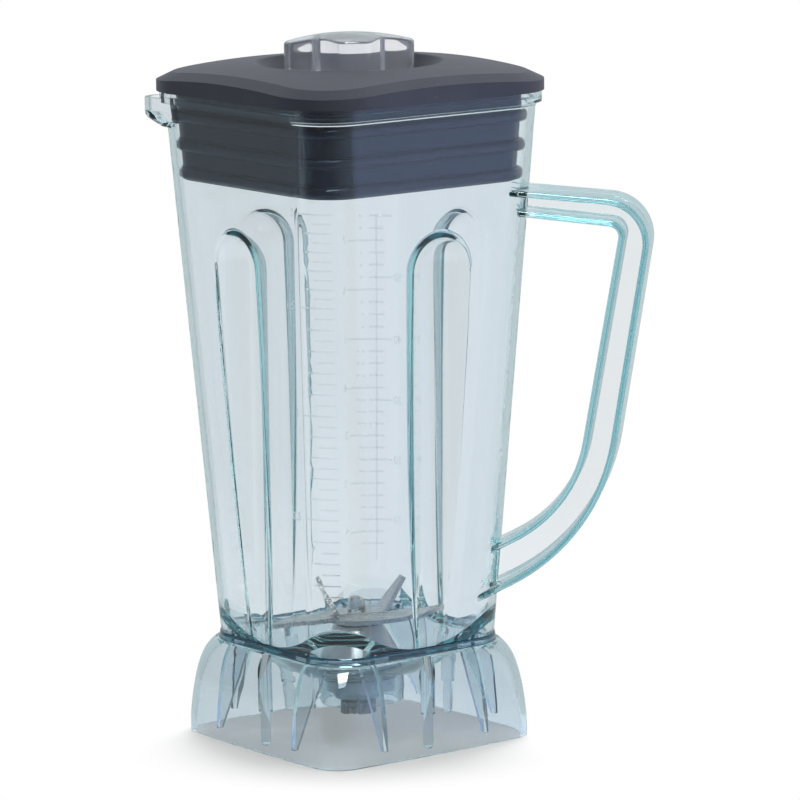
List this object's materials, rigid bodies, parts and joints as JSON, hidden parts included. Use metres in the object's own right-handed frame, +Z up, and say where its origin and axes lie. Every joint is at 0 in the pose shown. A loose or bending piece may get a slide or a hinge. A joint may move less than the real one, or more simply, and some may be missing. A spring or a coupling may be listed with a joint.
{
  "type": "blender jar",
  "caption": "Square clear blender jar with fluted sides, finned bell skirt and open handle, ribbed rubber lid, clear filler cap and a bearing-mounted blade set.",
  "frame": {"origin": "on the blade axis, in the plane of the skirt's foot that stands on the table or motor base", "axes": "+Z up along the blade axis, +X towards the handle, -X towards the spout"},
  "size_m": [0.2246, 0.172, 0.315],
  "materials": {
    "jar_plastic": "clear moulded plastic with a pale blue-green tint, polished",
    "lid_rubber": "charcoal synthetic rubber, fine matt grain",
    "cap_plastic": "clear moulded plastic, polished",
    "housing_metal": "turned stainless steel",
    "fastener_steel": "plain steel",
    "blade_steel": "stamped stainless steel, ground edges",
    "bearing_steel": "ground bearing steel",
    "cage_brass": "plain pressed brass",
    "seal_rubber": "black rubber"
  },
  "bodies": {
    "jar": {"jar_body": "jar_plastic", "bearing_housing": "housing_metal", "housing_gasket": "seal_rubber", "retaining_washer": "fastener_steel", "retaining_nut": "fastener_steel", "shaft_seal": "seal_rubber", "circlip": "fastener_steel", "upper_bearing_outer_ring": "bearing_steel", "lower_bearing_outer_ring": "bearing_steel"},
    "rotor": {"spindle": "blade_steel", "bearing_spacer": "fastener_steel", "slinger_washer": "blade_steel", "lower_blade": "blade_steel", "upper_blade": "blade_steel", "blade_washer": "blade_steel", "blade_nut": "fastener_steel", "drive_coupling": "fastener_steel", "upper_bearing_inner_ring": "bearing_steel", "lower_bearing_inner_ring": "bearing_steel"},
    "ball_sets": {"upper_bearing_balls": "bearing_steel", "upper_bearing_cage": "cage_brass", "lower_bearing_balls": "bearing_steel", "lower_bearing_cage": "cage_brass"},
    "cover": {"lid": "lid_rubber"},
    "cap": {"filler_cap": "cap_plastic"}
  },
  "joints": [
    {"name": "blade_spin", "type": "hinge", "parent": "jar", "child": "rotor", "pos_m": [0, 0, 0.05], "axis": [0, 0, 1], "continuous": true},
    {"name": "ball_orbit", "type": "hinge", "parent": "jar", "child": "ball_sets", "pos_m": [0, 0, 0.03], "axis": [0, 0, 1], "continuous": true},
    {"name": "lid_lift", "type": "slide", "parent": "jar", "child": "cover", "axis": [0, 0, 1], "range_m": [0, 0.1]},
    {"name": "cap_lift", "type": "slide", "parent": "cover", "child": "cap", "axis": [0, 0, 1], "range_m": [0, 0.05]}
  ],
  "couplings": [
    {"joint": "ball_orbit", "follows": "blade_spin", "ratio": 0.4}
  ]
}
